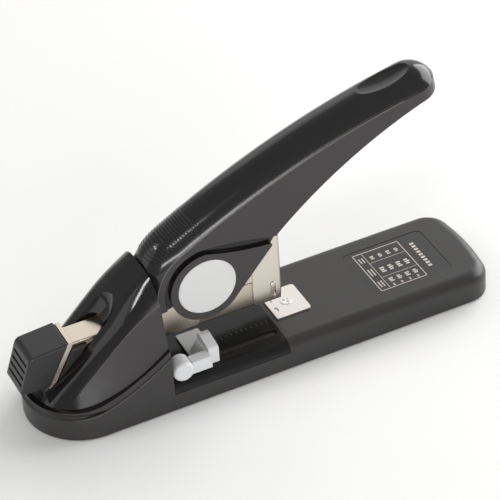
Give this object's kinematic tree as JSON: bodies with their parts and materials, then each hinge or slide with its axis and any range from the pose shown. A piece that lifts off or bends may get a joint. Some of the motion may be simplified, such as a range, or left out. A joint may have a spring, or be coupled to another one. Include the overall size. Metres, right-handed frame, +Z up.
{
  "type": "long reach stapler",
  "caption": "Long-reach heavy-duty stapler with a flat base, humped rear housing, sprung magazine arm, lever handle, rear staple drawer and sliding paper stop.",
  "frame": {"origin": "centre of the base's footprint, on the underside of its rubber mat", "axes": "+X along the base from the rear housing to the far end, +Z up, -Y the side with the paper stop's knob"},
  "size_m": [0.3049, 0.0742, 0.1635],
  "materials": {
    "base_black": "fine satin grain",
    "handle_black": "satin, slightly glossy on top",
    "cap_black": "satin",
    "gloss_black": "high gloss",
    "insert_black": "semi gloss",
    "label_black": "printed with pale rules and marks",
    "mat_rubber": "matt",
    "plated_steel": "zinc plated",
    "bright_steel": "bright turned",
    "spring_steel": "drawn wire",
    "anvil_steel": "bright nickel",
    "nickel_steel": "warm nickel plate, faint brushing",
    "tool_steel": "oiled",
    "staple_wire": "zinc wire",
    "pusher_plastic": "satin",
    "disc_grey": "satin silver grey",
    "stop_white": "pale grey, semi gloss"
  },
  "bodies": {
    "base": {"base_shell": "base_black", "throat_insert": "insert_black", "label_plate": "label_black", "bottom_plate": "plated_steel", "rubber_mat": "mat_rubber", "bottom_screws": "bright_steel", "rear_housing": "gloss_black", "arm_bracket": "plated_steel", "bracket_bolts": "bright_steel", "arm_pivot_pins": "bright_steel", "pin_clips": "bright_steel", "arm_return_spring": "spring_steel", "anvil_plate": "anvil_steel", "anvil_screw": "bright_steel"},
    "arm": {"magazine_channel": "nickel_steel", "magazine_cover": "nickel_steel", "tail_sleeve": "cap_black", "side_plate_left": "nickel_steel", "side_plate_right": "nickel_steel", "head_housing": "nickel_steel", "head_front_plate": "nickel_steel", "head_rivets": "bright_steel", "handle_axle": "bright_steel", "axle_spacer": "bright_steel", "handle_return_spring": "spring_steel", "staple_strip": "staple_wire"},
    "handle": {"handle_shell": "handle_black", "side_cover_left": "handle_black", "side_cover_right": "handle_black", "pivot_disc_left": "disc_grey", "pivot_disc_right": "disc_grey", "handle_lever": "tool_steel"},
    "driver": {"driver_blade": "tool_steel", "driver_carrier": "tool_steel", "drive_pin": "bright_steel"},
    "drawer": {"drawer_cap": "cap_black", "drawer_end_plate": "nickel_steel", "feed_rail": "nickel_steel", "pusher_spring": "spring_steel"},
    "pusher": {"pusher": "pusher_plastic"},
    "paper_stop": {"paper_stop": "stop_white"},
    "stop_knob": {"stop_knob": "stop_white"}
  },
  "joints": [
    {"name": "arm_swing", "type": "hinge", "parent": "base", "child": "arm", "pos_m": [-0.106, 0, 0.043], "axis": [0, 1, 0], "range_deg": [0, 5.8], "stiffness_Nm_per_rad": 4, "springref_deg": -5.73, "deforming": ["arm_return_spring"]},
    {"name": "handle_swing", "type": "hinge", "parent": "arm", "child": "handle", "pos_m": [-0.0347, 0, 0.0663], "axis": [0, 1, 0], "range_deg": [0, 23.3], "stiffness_Nm_per_rad": 1.2, "springref_deg": -11.46},
    {"name": "driver_drop", "type": "slide", "parent": "arm", "child": "driver", "axis": [0, 0, -1], "range_m": [0, 0.011]},
    {"name": "drawer_pull", "type": "slide", "parent": "arm", "child": "drawer", "axis": [-1, 0, 0], "range_m": [0, 0.1]},
    {"name": "pusher_slide", "type": "slide", "parent": "drawer", "child": "pusher", "axis": [-1, 0, 0], "range_m": [0, 0.055], "stiffness_N_per_m": 20, "springref_m": -0.08, "deforming": ["pusher_spring"]},
    {"name": "stop_slide", "type": "slide", "parent": "base", "child": "paper_stop", "axis": [1, 0, 0], "range_m": [0, 0.035]},
    {"name": "knob_turn", "type": "hinge", "parent": "paper_stop", "child": "stop_knob", "pos_m": [-0.0622, -0.032, 0.0272], "axis": [0, -1, 0], "range_deg": [0, 90]}
  ],
  "couplings": [
    {"joint": "driver_drop", "follows": "handle_swing", "m_per_rad": 0.02704}
  ]
}
